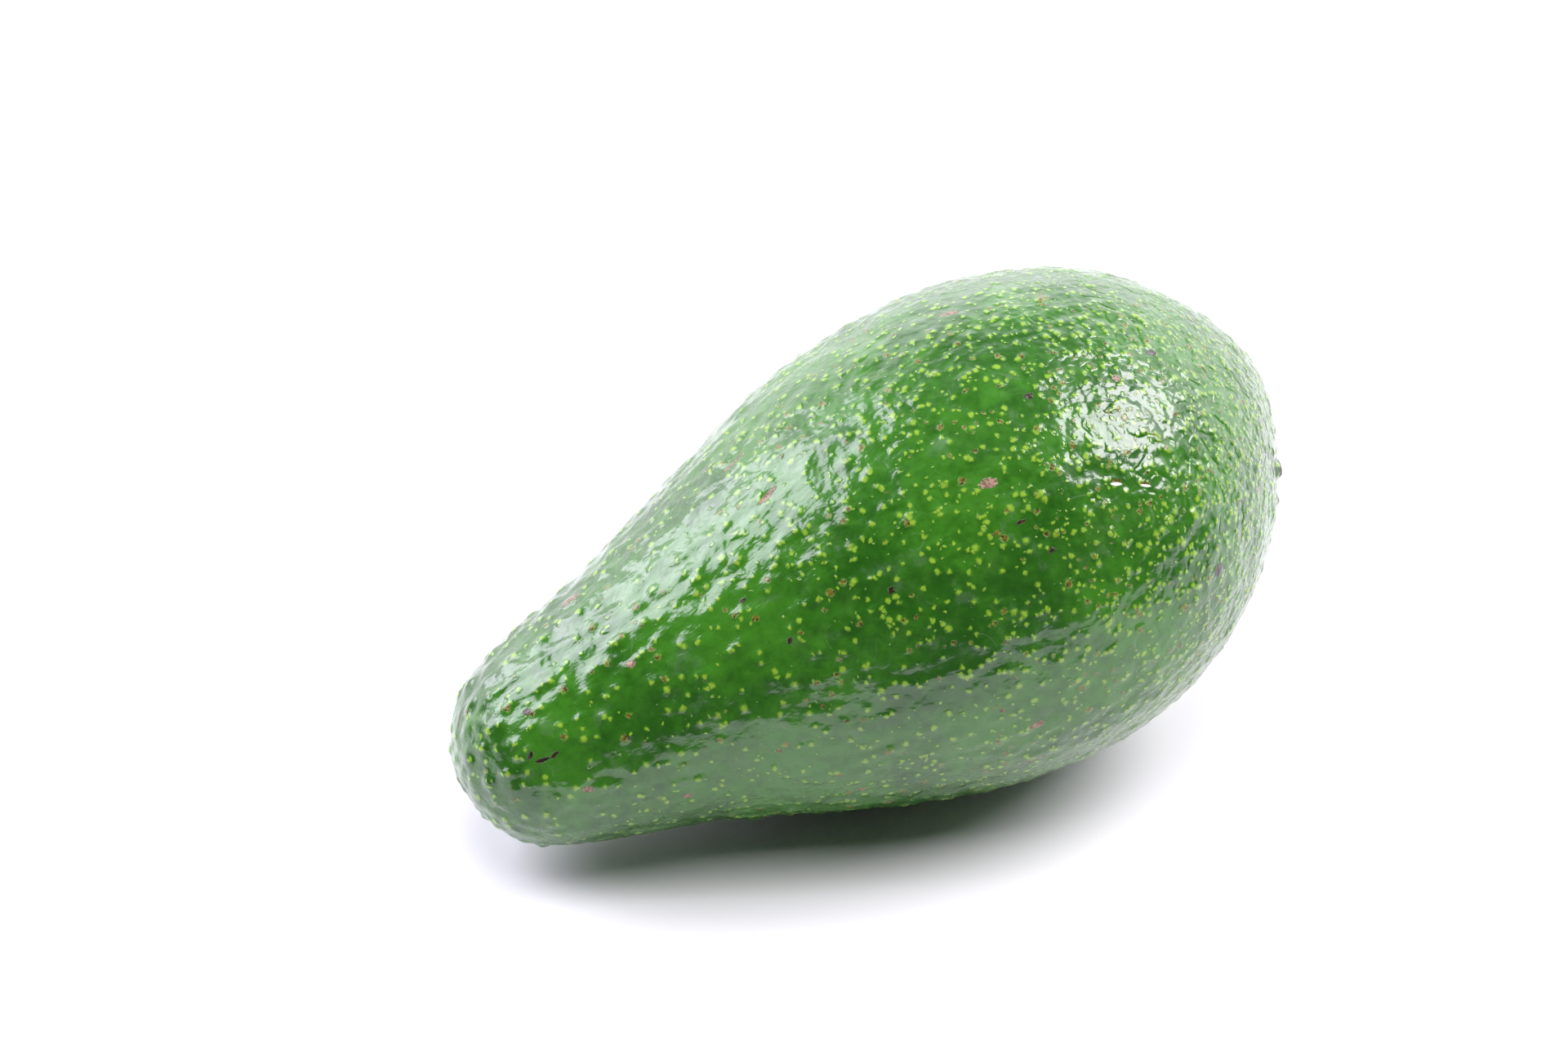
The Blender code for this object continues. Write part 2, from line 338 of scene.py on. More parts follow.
def stem_relief(points):
    """The pit, its folds, and the drop into the socket at a little over the button's radius.

    These heights are taken along the stem, so that the socket's wall stays clear of the button.
    All of it fades out below the pit, because the far side of the neck is in line with it too.
    """
    near = local_to(STEM_PLACE, points)
    radius = np.hypot(near[:, 0], near[:, 1])
    share = radius / PIT_RADIUS
    pit = -PIT_DEPTH * np.clip(1.0 - share ** 2, 0.0, 1.0) ** 2
    folds = np.cos(FOLDS * np.arctan2(near[:, 1], near[:, 0]) + 3.0 * share)
    folds = folds * FOLD_HEIGHT * share * np.exp(1.0 - share ** 2) * 0.7
    wall = BUTTON_RADIUS + GAP
    floor = BUTTON_FOOT - GAP + PIT_DEPTH
    drop = np.interp(radius, [wall, wall + 0.00005, wall + 0.00020, wall + 0.00060],
                     [floor, -0.0004, -0.00008, 0.0])
    return (pit + folds + drop) * near_side(near)


def nub_relief(points):
    """Domes of the corky nubs, rough with a fine wave field, each with a dent round it."""
    height = np.zeros(len(points))
    for place, radius, stand in NUBS:
        near = local_to(place, points)
        reach = np.hypot(near[:, 0] / 1.1, near[:, 1] / 0.9) / radius
        reach = np.where(near[:, 2] > -radius * 3.0, reach, 9.0)
        rough = 1.0 + 0.18 * wave_field(points, 0.0011)
        dome = stand * rough * np.clip(1.0 - reach ** 2, 0.0, 1.0) ** 1.1
        dent = -0.25 * stand * np.exp(-((reach - 1.25) / 0.3) ** 2)
        height += dome + dent
    return height


def skin_relief(points, normals):
    """Heights along the normals added up. Waves fade round the resting spot and at the pit."""
    lowest = points[np.argmin(points[:, 2])]
    reach = np.linalg.norm(points - lowest, axis=1) / CALM_RADIUS
    calm = 1.0 - np.exp(-reach ** 4)
    near = local_to(STEM_PLACE, points)
    clear = smoothstep(BUTTON_RADIUS + GAP, PIT_RADIUS, np.linalg.norm(near, axis=1))
    neck = 1.0 - smoothstep(0.30, 0.62, axis_share(points))
    ridges = wave_field(drawn_out(points, RIDGE_STRETCH), RIDGE_LENGTH, 20)
    waves = SWELL_HEIGHT * wave_field(points, SWELL_LENGTH)
    waves += PEBBLE_HEIGHT * wave_field(points, PEBBLE_LENGTH)
    fine = wave_field(drawn_out(points, FINE_STRETCH), FINE_LENGTH, 20)
    waves += FINE_HEIGHT * (0.45 + 0.55 * neck) * fine
    waves += RIDGE_HEIGHT * (0.6 + 0.4 * neck) * ridges
    bells = pimples(points, normals) * (0.64 + 0.36 * neck)
    return (waves + bells) * calm * clear + nub_relief(points)


# %% [markdown]
# ## Rings of the skin
# The mesh is a grid of rings from the stem scar to the blossom end. A UV sphere gives such rings
# at once, but its rings would be ovals round the button's socket, and a round edge that crosses
# a grid at a slant comes out ragged. So near the stem each ring's angle is corrected until
# the ring is a true circle, and further off the correction fades out.

# %% Ring angles
AROUND = 372
ALONG = 246
CIRCLE_REACH = (math.radians(12.0), math.radians(28.0))
SOCKET_RINGS = (0.0013, 0.0026, 0.0036, 0.0042, 0.0043, 0.00435, 0.0045, 0.0047, 0.0049)
NEXT_RING = 0.0052
PROBE_ANGLE = 0.02

stem_way = Vector(direction_at(STEM_PLACE))
stem_turn = np.array(Vector((0.0, 0.0, 1.0)).rotation_difference(stem_way).to_matrix())


def ring_direction(angle, turn):
    """Directions at an angle from the stem's direction and a turn round it."""
    flat = np.sin(angle)
    local = np.stack([flat * np.cos(turn), flat * np.sin(turn), np.cos(angle)], axis=-1)
    return local @ stem_turn.T


def ring_radius(angle, turn):
    """Distance of a ring's points from the line of the stem."""
    points = body_point(ring_direction(angle, turn))
    near = local_to(STEM_PLACE, points.reshape(-1, 3)).reshape(points.shape)
    return np.hypot(near[..., 0], near[..., 1])


def ring_grid():
    """Angle and turn of every grid point, with the rings near the stem made circles."""
    turns = np.arange(AROUND) * 2.0 * math.pi / AROUND
    probe = np.full(AROUND, PROBE_ANGLE)
    scale = float(ring_radius(probe, turns).mean()) / PROBE_ANGLE
    angles = np.concatenate([np.array(SOCKET_RINGS) / scale,
                             np.linspace(NEXT_RING / scale, math.pi, ALONG + 1)[:-1]])
    angle, turn = np.meshgrid(angles, turns, indexing="ij")
    weight = 1.0 - smoothstep(*CIRCLE_REACH, angle)
    wanted = angle * scale
    fitted = angle.copy()
    for _ in range(8):
        fitted = fitted * (wanted / ring_radius(fitted, turn)) ** weight
    return angle + (fitted - angle) * weight, turn


# %% [markdown]
# ## The skin's mesh
# The grid's points are the body's points, moved along the normal by the relief and along the
# stem by the pit. Whatever falls below the floor is pressed flat, as the fruit's own weight
# does. `grid_faces` joins the rings with squares and closes both poles with fans, so the mesh
# has no hole.

# %% Mesh from a closed grid
def grid_faces(rings, around):
    """Quads between rings, and a fan of triangles at each pole, facing outwards."""
    ring = np.arange(rings - 1)[:, None] * around
    spot = np.arange(around)[None, :]
    after = (spot + 1) % around
    quads = np.stack([ring + spot, ring + around + spot, ring + around + after, ring + after],
                     axis=-1).reshape(-1, 4)
    first, last = rings * around, rings * around + 1
    end = (rings - 1) * around
    spot, after = spot[0], after[0]
    top = np.stack([np.full(around, first), spot, after], axis=-1)
    bottom = np.stack([np.full(around, last), end + after, end + spot], axis=-1)
    return quads.tolist() + top.tolist() + bottom.tolist()


def grid_object(name, points, first, last):
    """A smooth-shaded object from rings of points and the two points that close its ends."""
    rings, around = points.shape[:2]
    cloud = np.concatenate([points.reshape(-1, 3), [first], [last]])
    mesh = bpy.data.meshes.new(name)
    mesh.from_pydata(cloud.tolist(), [], grid_faces(rings, around))
    mesh.shade_smooth()
    obj = bpy.data.objects.new(name, mesh)
    bpy.context.scene.collection.objects.link(obj)
    print(name, len(mesh.polygons), "faces")
    return obj


# %% Build the skin
def make_skin():
    """The skin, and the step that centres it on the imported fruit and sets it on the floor.

    The mesh keeps each vertex's place and normal on the smooth body for the material.
    """
    angle, turn = ring_grid()
    direction = ring_direction(angle, turn)
    poles = np.array([stem_way, -stem_way])
    direction = np.concatenate([direction.reshape(-1, 3), poles])
    smooth = body_point(direction)
    normal = outward(direction)
    stem_out = np.array(frame_at(STEM_PLACE))[:3, 2]
    points = smooth + normal * skin_relief(smooth, normal)[:, None]
    points = points + stem_out * stem_relief(smooth)[:, None]
    low, high = points.min(axis=0), points.max(axis=0)
    middle = np.array((fruit_low + fruit_high) / 2.0)
    shift = middle - (low + high) / 2.0
    shift[2] = -smooth[:, 2].min() - FLAT_DEPTH
    points = points + shift
    points[:, 2] = np.maximum(points[:, 2], 0.0)
    rings = points[:-2].reshape(*angle.shape, 3)
    obj = grid_object("avocado_skin", rings, points[-2], points[-1])
    for name, values in (("rest", smooth), ("lie", normal)):
        attribute = obj.data.attributes.new(name, "FLOAT_VECTOR", "POINT")
        attribute.data.foreach_set("vector", values.ravel())
    return obj, shift


skin, shift = make_skin()
print("shift, mm:", np.round(shift * 1000, 3))

# %% [markdown]
# ## The camera
# The photograph looks down at the fruit from 35 degrees, with a long lens. The camera is made
# here, before the scars, because the larger scars are placed by where the photograph shows them.

# %% Camera
VIEW_TURN = math.radians(24.0)
VIEW_DOWN = math.radians(35.0)
VIEW_DISTANCE = 0.5569
AIM = Vector((0.01195, 0.0562, -0.0003))
PHOTO_WIDTH = 1920
PHOTO_HEIGHT = 1280


def from_view(right, away, up):
    """A vector given as right, away from the camera and up, in the model's own axes."""
    x = right * math.cos(VIEW_TURN) + away * math.sin(VIEW_TURN)
    y = away * math.cos(VIEW_TURN) - right * math.sin(VIEW_TURN)
    return Vector((x, y, up))


look = from_view(0.0, math.cos(VIEW_DOWN), -math.sin(VIEW_DOWN))
camera_data = bpy.data.cameras.new("camera")
camera_data.lens = 85.0
camera_data.sensor_width = 36.0
camera_data.clip_start = 0.01
camera = bpy.data.objects.new("camera", camera_data)
bpy.context.scene.collection.objects.link(camera)
camera.location = AIM - look * VIEW_DISTANCE
camera.rotation_euler = look.to_track_quat("-Z", "Y").to_euler()
bpy.context.scene.camera = camera
print("camera at, mm:", [round(1000 * v) for v in camera.location])

# %% [markdown]
# ## Scars and cuts
# Corky scars are where a branch rubbed the young fruit. Each is an ellipse on the skin, given by
# the photograph's pixel that it sits at, its length and width, and its slant. A ray from the
# camera through the pixel finds the spot on the skin, and every vertex then gets a number that
# falls from 1 inside the scar to 0 outside. The material turns those numbers into ragged patches.
# Two small cuts are placed the same way, but they are too fine for the mesh, so the material
# draws them.

# %% Scar places: pixel x and y, length and width in millimetres, slant in degrees, kind
# The kind is 0 for a pinkish scar and 1 for a dark one.
SCARS = (
    (1210, 592, 2.3, 1.3, 10, 0),
    (1163, 384, 3.6, 0.7, 4, 0),
    (940, 607, 3.2, 0.8, 52, 0),
    (1367, 463, 1.2, 1.0, 0, 0),
    (772, 813, 1.5, 1.0, 0, 0),
    (1270, 888, 2.2, 1.0, 10, 0),
    (1055, 967, 1.5, 0.9, 0, 0),
    (720, 967, 1.5, 0.9, 0, 0),
    (842, 975, 1.6, 0.7, 0, 0),
    (1210, 945, 2.2, 0.6, 5, 0),
    (1262, 932, 2.0, 0.7, 5, 0),
    (698, 734, 3.0, 0.8, 45, 0),
    (900, 565, 4.6, 0.5, 42, 0),
    (664, 931, 2.0, 0.6, 20, 1),
    (650, 925, 1.2, 0.6, 70, 1),
    (680, 924, 1.5, 0.5, 40, 1),
    (645, 872, 1.1, 0.9, 0, 1),
    (1092, 723, 1.2, 1.0, 0, 1),
    (967, 785, 1.1, 0.9, 0, 1),
    (1260, 485, 1.3, 0.9, 0, 1),
    (1410, 432, 1.4, 1.0, 20, 1),
    (910, 735, 1.1, 0.8, 30, 1),
    (1250, 640, 1.1, 0.6, 20, 1),
    (1289, 674, 1.0, 0.9, 0, 1),
    (1493, 698, 1.8, 1.6, 60, 1),
    (562, 880, 2.6, 0.5, 80, 1),
)

# %% Cut places: pixel x and y, length and width in millimetres
CUTS = ((1367, 593, 1.6, 0.50), (1403, 595, 1.7, 0.36))


# %% Spots of the photograph on the skin
def skin_points():
    """Places of all the skin's vertices."""
    points = np.empty(len(skin.data.vertices) * 3)
    skin.data.vertices.foreach_get("co", points)
    return points.reshape(-1, 3)


skin_tree = BVHTree.FromPolygons([Vector(point) for point in skin_points()],
                                 [tuple(face.vertices) for face in skin.data.polygons])
view_right = from_view(1.0, 0.0, 0.0)
view_up = view_right.cross(look)


def pixel_spot(pixel_x, pixel_y, slant):
    """Where the photograph's pixel meets the skin, the way the slant points, and the normal.

    A pixel just off the outline takes the skin's nearest spot to where its ray passes by.
    """
    focal = camera_data.lens / camera_data.sensor_width * PHOTO_WIDTH
    ray = look * focal
    ray += view_right * (pixel_x - PHOTO_WIDTH / 2) - view_up * (pixel_y - PHOTO_HEIGHT / 2)
    ray.normalize()
    spot, normal, face, distance = skin_tree.ray_cast(camera.location, ray)
    if spot is None:
        beside = camera.location + ray * VIEW_DISTANCE
        spot, normal, face, distance = skin_tree.find_nearest(beside)
    way = view_right * math.cos(math.radians(slant)) + view_up * math.sin(math.radians(slant))
    along = (way - normal * way.dot(normal)).normalized()
    return np.array(spot), np.array(along), np.array(normal)


# %% Masks of the marks
BACK_SCARS = 46
BACK_LENGTHS = (0.0010, 0.0030)
BACK_WIDTHS = (0.0007, 0.0011)
BACK_SLANT = 0.6
STEM_CLEAR = 0.012
CORK = 2
RING_START = BUTTON_RADIUS + 0.0004
RING_END = BUTTON_RADIUS + 0.0021
RING_STRENGTH = 0.80


def scar_mask(points, spot, along, normal, length, width):
    """One inside an ellipse on the skin, falling to nothing at one and a half times its size."""
    offset = points - spot
    side = np.cross(normal, along)
    reach = np.sqrt((offset @ along / (length / 2)) ** 2 + (offset @ side / (width / 2)) ** 2
                    + (offset @ normal / length) ** 2)
    return np.clip(2.0 - 1.3 * reach, 0.0, 1.0)


def photo_scars(points):
    """Kind and mask of each scar that the photograph shows."""
    for pixel_x, pixel_y, length, width, slant, kind in SCARS:
        spot, along, normal = pixel_spot(pixel_x, pixel_y, slant)
        yield kind, scar_mask(points, spot, along, normal, length / 1000.0, width / 1000.0)


def back_scars(points):
    """Kind and mask of scars drawn at random, where the camera can't see and off the stem."""
    draw = np.random.default_rng(11)
    for number in range(BACK_SCARS):
        direction = unit(draw.normal(size=3))
        length, width = draw.uniform(*BACK_LENGTHS), draw.uniform(*BACK_WIDTHS)
        slant = draw.uniform(-BACK_SLANT, BACK_SLANT)
        spot, normal = body_point(direction) + shift, outward(direction)
        seen = (spot - np.array(camera.location)) @ normal < 0.0
        beside_stem = np.hypot(*local_to(STEM_PLACE, spot - shift)[:2]) < STEM_CLEAR
        if seen or beside_stem:
            continue
        way = np.array([math.cos(slant), math.sin(slant), 0.0])
        along = unit(way - normal * (way @ normal))
        yield number % 2, scar_mask(points, spot, along, normal, length, width)


def cork_marks(points):
    """Masks of the corky nubs, and of the thin ring round the button's socket."""
    for place, radius, stand in NUBS:
        near = local_to(place, points - shift)
        reach = np.hypot(near[:, 0], near[:, 1]) / radius
        reach = np.where(near[:, 2] > -radius * 3.0, reach, 9.0)
        yield CORK, 1.0 - smoothstep(0.25, 1.05, reach)
    near = local_to(STEM_PLACE, points - shift)
    ring = 1.0 - smoothstep(RING_START, RING_END, np.hypot(near[:, 0], near[:, 1]))
    yield CORK, RING_STRENGTH * ring * near_side(near)


# %% Write the marks to the mesh
def mark_skin():
    """Colour attribute of the marks: red for pinkish scars, green for dark ones, blue for cork.

    A second attribute holds how far along the fruit each vertex is.
    """
    points = skin_points()
    marks = np.zeros((len(points), 4))
    marks[:, 3] = 1.0
    for found in (photo_scars(points), back_scars(points), cork_marks(points)):
        for kind, mask in found:
            marks[:, kind] = np.maximum(marks[:, kind], mask)
    attribute = skin.data.attributes.new("marks", "FLOAT_COLOR", "POINT")
    attribute.data.foreach_set("color", marks.ravel())
    share = skin.data.attributes.new("along", "FLOAT", "POINT")
    share.data.foreach_set("value", axis_share(points - shift))
    print("marked vertices:", int((marks[:, :3].max(axis=1) > 0.5).sum()))


mark_skin()

# %% [markdown]
# ## The stem button
# The button is the stub of the stalk, dry and woody. Its outline is turned round the stem's
# line, as with a Screw modifier, and then each point's radius is changed by flutes and cracks,
# which a turned shape can't have.

# %% Build the stem button
def button_profile():
    """Half outline of the button, from its cut face over the flare and down to its foot."""
    outline = [(0.10, BUTTON_TOP - 0.0003), (0.35, BUTTON_TOP - 0.0002)]
    outline += [(0.58, BUTTON_TOP - 0.00004), (0.66, BUTTON_TOP)]
    outline += [(0.74, BUTTON_TOP - 0.00008), (0.78, BUTTON_TOP - 0.0003)]
    outline += [(0.82, 0.0), (0.97, -0.0008), (1.0, -0.0014)]
    outline += [(0.96, BUTTON_FOOT + 0.0010), (0.72, BUTTON_FOOT), (0.10, BUTTON_FOOT)]
    points = np.array(outline)
    points[:, 0] *= BUTTON_RADIUS
    return points


BUTTON_AROUND = 144
BUTTON_ALONG = 90
FLUTES = 7
FLUTE_DEPTH = 0.00022
CRACKS = 23
CRACK_DEPTH = 0.00006
GRAIN_LINES = 31
GRAIN_TURNS = 2600.0
GRAIN_HEIGHT = 0.00005


def make_button():
    """The profile at even steps along its length, turned, fluted, cracked and roughened.

    Flutes and cracks are cosines round the turn that take a little off the radius, and the
    cracks wander with height. The cut face gets a grain of crossing waves.
    """
    outline = button_profile()
    steps = np.concatenate([[0.0], np.cumsum(np.linalg.norm(np.diff(outline, axis=0), axis=1))])
    places = np.linspace(0.0, steps[-1], BUTTON_ALONG)
    radius = np.interp(places, steps, outline[:, 0])[:, None]
    height = np.interp(places, steps, outline[:, 1])[:, None]
    turn = np.arange(BUTTON_AROUND)[None, :] * 2.0 * math.pi / BUTTON_AROUND
    share = radius / BUTTON_RADIUS
    flute = FLUTE_DEPTH * (0.5 + 0.5 * np.cos(FLUTES * turn)) * share
    crack = 0.5 + 0.5 * np.cos(CRACKS * turn + 2.0 * np.sin(3.0 * turn) + 900.0 * height)
    radial = radius - flute - CRACK_DEPTH * crack ** 3 * share
    grain = np.cos(GRAIN_LINES * turn + 3.0 * np.sin(2.0 * turn)) * np.sin(GRAIN_TURNS * radius)
    top = smoothstep(BUTTON_TOP - 0.0004, BUTTON_TOP - 0.0001, height)
    rise = height + GRAIN_HEIGHT * grain * top
    points = np.stack([radial * np.cos(turn), radial * np.sin(turn), rise], axis=-1)
    matrix = np.array(Matrix.Translation(shift) @ frame_at(STEM_PLACE))
    poles = np.array([[0.0, 0.0, outline[0, 1]], [0.0, 0.0, BUTTON_FOOT]])
    points = points @ matrix[:3, :3].T + matrix[:3, 3]
    poles = poles @ matrix[:3, :3].T + matrix[:3, 3]
    return grid_object("stem_button_wood", points, poles[0], poles[1])


button = make_button()

# %% [markdown]
# ## Helpers for materials
# A material is a graph of small nodes. These helpers add one node each and link its inputs, so
# that a finish reads like a recipe.

# %% Node helpers
class Graph:
    """A material's nodes, with one short method for each kind that is used here."""

    def __init__(self, name):
        self.material = bpy.data.materials.new(name)
        self.material.use_nodes = True
        self.tree = self.material.node_tree
        self.shader = self.tree.nodes["Principled BSDF"]
        self.where = self.add("ShaderNodeTexCoord").outputs["Object"]

    def add(self, kind, **settings):
        node = self.tree.nodes.new(kind)
        for name, value in settings.items():
            setattr(node, name, value)
        return node

    def put(self, socket, value):
        """Link an output to a socket, or write a plain value into it."""
        if isinstance(value, bpy.types.NodeSocket):
            self.tree.links.new(value, socket)
        else:
            socket.default_value = value

    def math(self, operation, *values, clamp=False):
        node = self.add("ShaderNodeMath", operation=operation, use_clamp=clamp)
        for socket, value in zip(node.inputs, values):
            self.put(socket, value)
        return node.outputs[0]

    def plus(self, first, second):
        return self.math("ADD", first, second)

    def times(self, first, second):
        return self.math("MULTIPLY", first, second)

    def from_middle(self, value):
        """How far a noise is from its middle value, below zero on the low side."""
        return self.math("SUBTRACT", value, 0.5)

    def vector(self, operation, *values, output=0):
        node = self.add("ShaderNodeVectorMath", operation=operation)
        for socket, value in zip(node.inputs, values):
            self.put(socket, value)
        return node.outputs[output]

    def noise(self, wavelength, detail=2.0, rough=0.5, where=None, color=False):
        """A noise whose features are about one wavelength across, in metres."""
        node = self.add("ShaderNodeTexNoise")
        self.put(node.inputs["Vector"], where or self.where)
        node.inputs["Scale"].default_value = 1.0 / wavelength
        node.inputs["Detail"].default_value = detail
        node.inputs["Roughness"].default_value = rough
        return node.outputs["Color" if color else "Fac"]

    def voronoi(self, cell, where):
        node = self.add("ShaderNodeTexVoronoi")
        self.put(node.inputs["Vector"], where)
        node.inputs["Scale"].default_value = 1.0 / cell
        return node.outputs["Position"], node.outputs["Color"]

    def ramp(self, value, low, high, to_low=0.0, to_high=1.0):
        """A soft step of a value between two limits, which may be given high before low."""
        node = self.add("ShaderNodeMapRange", interpolation_type="SMOOTHSTEP")
        for socket, item in zip(node.inputs, (value, low, high, to_low, to_high)):
            self.put(socket, item)
        return node.outputs[0]

    def curve(self, value, places, heights):
        """Straight lines through a few points, as numpy's interp gives."""
        node = self.add("ShaderNodeFloatCurve")
        line = node.mapping.curves[0]
        while len(line.points) < len(places):
            line.points.new(0.5, 0.5)
        for point, x, y in zip(line.points, places, heights):
            point.location = (x, y)
            point.handle_type = "VECTOR"
        node.mapping.update()
        self.put(node.inputs["Value"], value)
        return node.outputs[0]

    def mix(self, share, first, second):
        node = self.add("ShaderNodeMix", data_type="RGBA")
        for name, value in (("Factor_Float", share), ("A_Color", first), ("B_Color", second)):
            socket = next(s for s in node.inputs if s.identifier == name)
            self.put(socket, value)
        return next(s for s in node.outputs if s.identifier == "Result_Color")

    def attribute(self, name, output="Fac"):
        return self.add("ShaderNodeAttribute", attribute_name=name).outputs[output]

    def bump(self, height, metres, normal=None):
        node = self.add("ShaderNodeBump")
        node.inputs["Distance"].default_value = metres
        self.put(node.inputs["Height"], height)
        if normal is not None:
            self.put(node.inputs["Normal"], normal)
        return node.outputs["Normal"]


# %% [markdown]
# ## The skin's green
# Deep green under a thin wax, with clouds of paler green. Handling has left a faint grey bloom
# and a few hair-fine scratches. Each of these is a noise texture, cut off at a level and mixed
# into the green by a small share.

# %% Green ground
LEAF_DEEP = (0.017, 0.092, 0.006, 1.0)
LEAF_BRIGHT = (0.042, 0.182, 0.012, 1.0)
LEAF_PALE = (0.085, 0.225, 0.040, 1.0)
BLOOM_GREY = (0.120, 0.190, 0.105, 1.0)
CLOUD_STRENGTH = 0.25
BLOOM_STRENGTH = 0.26


def faded_wax(g):
    """Share of faded wax: patches of bloom, and thin lines where a noise crosses its middle."""
    bloom = g.ramp(g.noise(0.0042, 3.0, 0.6), 0.57, 0.74)
    line = g.math("ABSOLUTE", g.from_middle(g.noise(0.0080, 0.0)))
    broken = g.ramp(g.noise(0.0040, 1.0), 0.58, 0.64)
    return g.math("MAXIMUM", bloom, g.times(g.ramp(line, 0.006, 0.002), broken))


def green_ground(g, fine, faded):
    """Deep and bright green by a broad and a fine noise, then clouds, then the faded wax."""
    tone = g.plus(g.times(g.noise(0.016, 3.0, 0.55), 0.65), g.times(fine, 0.35))
    color = g.mix(g.ramp(tone, 0.38, 0.62), LEAF_DEEP, LEAF_BRIGHT)
    clouds = g.ramp(g.noise(0.0052, 4.0, 0.62), 0.52, 0.76)
    color = g.mix(g.times(clouds, CLOUD_STRENGTH), color, LEAF_PALE)
    return g.mix(g.times(faded, BLOOM_STRENGTH), color, BLOOM_GREY)


# %% [markdown]
# ## The wax's fine relief
# Waves that are too small for the mesh go into a bump. Ripples lie all over, strokes run along
# the fruit and are strongest on the neck, and creases run where a noise crosses its middle value,
# deepest at the blossom end. Heights here are in hundredths of a millimetre.

# %% Ripples, strokes and creases
HEIGHT_UNIT = 0.00001
RIPPLE_LENGTH = 0.0017
RIPPLE_HEIGHT = 19.0
STROKE_LENGTH = 0.00038
STROKE_STRETCH = 4.0
STROKE_HEIGHTS = (1.6, 4.0)
CREASE_LENGTH = 0.0025
CREASE_PLACES = (0.0, 0.45, 0.68, 0.82)
CREASE_SHARES = (0.28, 0.20, 0.24, 1.0)
CREASE_HEIGHT = 7.0


def stroke_places(g, rest):
    """Places squeezed along the fruit's axis, as drawn_out does for the mesh."""
    axis = (math.cos(TILT), 0.0, math.sin(TILT))
    slide = g.times(g.vector("DOT_PRODUCT", rest, axis, output=1), 1.0 / STROKE_STRETCH - 1.0)
    scale = g.add("ShaderNodeVectorMath", operation="SCALE")
    scale.inputs[0].default_value = axis
    g.put(scale.inputs["Scale"], slide)
    return g.vector("ADD", rest, scale.outputs[0])


def wax_relief(g, rest, along):
    """Heights of the ripples, the strokes and the creases, added up."""
    height = g.times(g.noise(RIPPLE_LENGTH, 1.2, 0.45), RIPPLE_HEIGHT)
    strokes = g.noise(STROKE_LENGTH, 2.0, 0.5, stroke_places(g, rest))
    height = g.plus(height, g.times(strokes, g.ramp(along, 0.7, 0.4, *STROKE_HEIGHTS)))
    fold = g.math("ABSOLUTE", g.from_middle(g.noise(CREASE_LENGTH, 1.0, 0.4)))
    depth = g.times(g.curve(along, CREASE_PLACES, CREASE_SHARES), CREASE_HEIGHT)
    return g.plus(height, g.times(g.ramp(fold, 0.0, 0.12), depth))


# %% [markdown]
# ## The specks' finish
# Breathing pores are yellow-green with a darker rim, and some have gone corky and brown in the
# middle. The seeds are the ones that the pimples were built on, so a speck always sits on its
# pimple. The places are shaken a little by a noise first, which makes the specks ragged.

# %% One layer of specks
SPECK_YELLOW = (0.230, 0.390, 0.030, 1.0)
SPECK_RIM = (0.100, 0.255, 0.020, 1.0)
CORK_ORANGE = (0.150, 0.132, 0.018, 1.0)
CORK_DARK = (0.036, 0.021, 0.005, 1.0)
SPECK_HEIGHT = 4.2
CORK_DEPTH = 3.0


def speck_reach(g, layer, places, crowd):
    """Reach from a layer's nearest seed, measured along the skin, and the seed's own draw.

    The reach is 0 at the seed and 1 at the speck's edge. Seeds far above or below the skin,
    and those past the share that the layer keeps here, have no size, so they don't show.
    """
    ragged, lie, along = places
    seed, draws = g.voronoi(layer["cell"], ragged)
    draw = g.math("FRACT", g.vector("DOT_PRODUCT", draws, KEEP_MIX, output=1))
    kind = g.math("FRACT", g.vector("DOT_PRODUCT", draws, KIND_MIX, output=1))
    offset = g.vector("SUBTRACT", ragged, seed)
    rise = g.vector("DOT_PRODUCT", offset, lie, output=1)
    square = g.vector("DOT_PRODUCT", offset, offset, output=1)
    flat = g.math("SQRT", g.math("SUBTRACT", square, g.times(rise, rise), clamp=True))
    depth = g.math("DIVIDE", rise, SEED_REACH * layer["cell"])
    near = g.math("SUBTRACT", 1.0, g.times(depth, depth), clamp=True)
    keep = g.plus(g.curve(along, KEEP_PLACES, layer["keep"]), crowd)
    kept = g.math("MULTIPLY", g.math("SUBTRACT", keep, draw), KEEP_SLOPE, clamp=True)
    size = g.times(g.math("SQRT", near), g.plus(0.70, g.times(kind, 0.40)))
    radius = g.times(g.times(kept, size), layer["radius"])
    return g.math("DIVIDE", flat, g.math("MAXIMUM", radius, 0.000001)), kind


def add_specks(g, layer, finish, places, noises):
    """One layer of specks laid over a finish: rim, middle, corky hollow and low bell."""
    color, height, rough = finish
    grit, crowd, patchy = noises
    reach, kind = speck_reach(g, layer, places, crowd)
    speck = g.ramp(reach, 1.30, 0.62)
    color = g.mix(speck, color, g.mix(g.ramp(reach, 0.95, 0.35), SPECK_RIM, SPECK_YELLOW))
    torn = g.plus(reach, g.times(g.from_middle(grit), 2.2))
    corky = g.times(g.ramp(g.plus(kind, patchy), 0.84, 0.87), g.ramp(torn, 0.95, 0.55))
    color = g.mix(corky, color, g.mix(g.ramp(grit, 0.47, 0.40), CORK_ORANGE, CORK_DARK))
    height = g.plus(height, g.times(g.ramp(reach, 2.0, 0.1), SPECK_HEIGHT))
    height = g.math("SUBTRACT", height, g.times(corky, CORK_DEPTH))
    return color, height, g.plus(rough, g.times(speck, 0.05))
